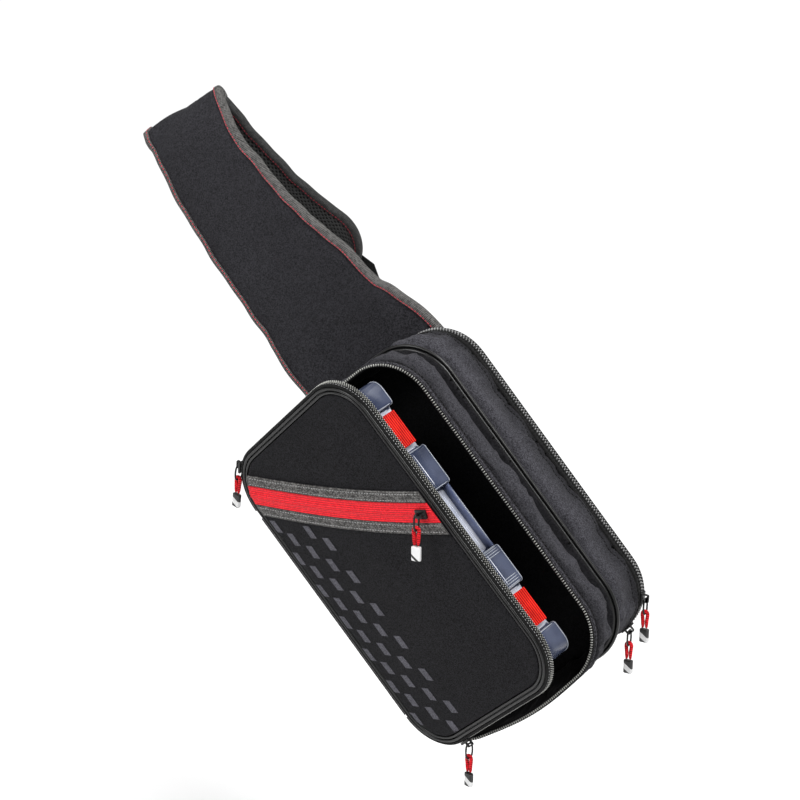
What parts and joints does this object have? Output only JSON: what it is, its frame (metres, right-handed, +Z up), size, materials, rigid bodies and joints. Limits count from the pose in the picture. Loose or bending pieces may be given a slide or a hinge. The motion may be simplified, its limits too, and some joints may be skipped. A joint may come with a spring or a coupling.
{
  "type": "fishing tackle sling bag",
  "caption": "Soft two-compartment sling bag with a padded shoulder strap, opened front lid holding a clear tackle box, and corded zip pulls.",
  "frame": {"origin": "the inside of the strap's shoulder fold, where the bag hangs", "axes": "+Z up as it hangs, -Y towards the viewer and the opened lid, +Y towards the wearer, +X to the viewer's right; the bag's own length leans 41.75 degrees from +Z towards -X"},
  "size_m": [0.5158, 0.2625, 0.5245],
  "materials": {
    "cloth": "matte woven cloth, near black",
    "gusset": "matte heather woven cloth, dark grey",
    "piping": "smooth coated piping, black",
    "zip": "woven zip tape with moulded teeth, black",
    "red_zip": "woven zip tape, red",
    "grey_tape": "woven binding tape, grey",
    "mesh": "open spacer mesh, black",
    "clear": "clear moulded plastic, slightly blue",
    "latch": "moulded plastic, red-orange",
    "webbing": "woven webbing, black",
    "plastic": "moulded plastic, black",
    "metal": "painted wire and cast metal, black",
    "cord": "braided cord, red",
    "tip": "moulded plastic, black"
  },
  "bodies": {
    "bag": {"anchor_tab": "webbing", "back_panel": "mesh", "box_base": "clear", "box_lid": "clear", "divider": "cloth", "front_gusset": "gusset", "front_zip_body": "zip", "front_zip_lid": "zip", "lid_hinge": "cloth", "lid_piping": "piping", "lid_shell": "cloth", "pocket_tape_lower": "grey_tape", "pocket_tape_upper": "grey_tape", "pocket_zip": "red_zip", "pull_lid_bottom_cord": "cord", "pull_lid_bottom_loop": "metal", "pull_lid_bottom_slider": "metal", "pull_lid_bottom_tip": "tip", "pull_lid_top_cord": "cord", "pull_lid_top_loop": "metal", "pull_lid_top_slider": "metal", "pull_lid_top_tip": "tip", "pull_pocket_cord": "cord", "pull_pocket_loop": "metal", "pull_pocket_slider": "metal", "pull_pocket_tip": "tip", "pull_rear_a_cord": "cord", "pull_rear_a_loop": "metal", "pull_rear_a_slider": "metal", "pull_rear_a_tip": "tip", "pull_rear_b_cord": "cord", "pull_rear_b_loop": "metal", "pull_rear_b_slider": "metal", "pull_rear_b_tip": "tip", "rear_gusset": "gusset", "rear_zip": "zip", "side_piping": "piping", "strap_adjuster": "plastic", "strap_binding": "grey_tape", "strap_lining": "mesh", "strap_pad": "cloth", "strap_webbing": "webbing"},
    "latch_upper": {"latch_upper": "latch"},
    "latch_lower": {"latch_lower": "latch"}
  },
  "joints": [
    {"name": "latch_upper_hinge", "type": "hinge", "parent": "bag", "child": "latch_upper", "pos_m": [0.29753, -0.18163, -0.18849], "axis": [0.6843, -0.0209, -0.7289], "range_deg": [0, 85]},
    {"name": "latch_lower_hinge", "type": "hinge", "parent": "bag", "child": "latch_lower", "pos_m": [0.41796, -0.18531, -0.31678], "axis": [0.6843, -0.0209, -0.7289], "range_deg": [0, 85]}
  ]
}
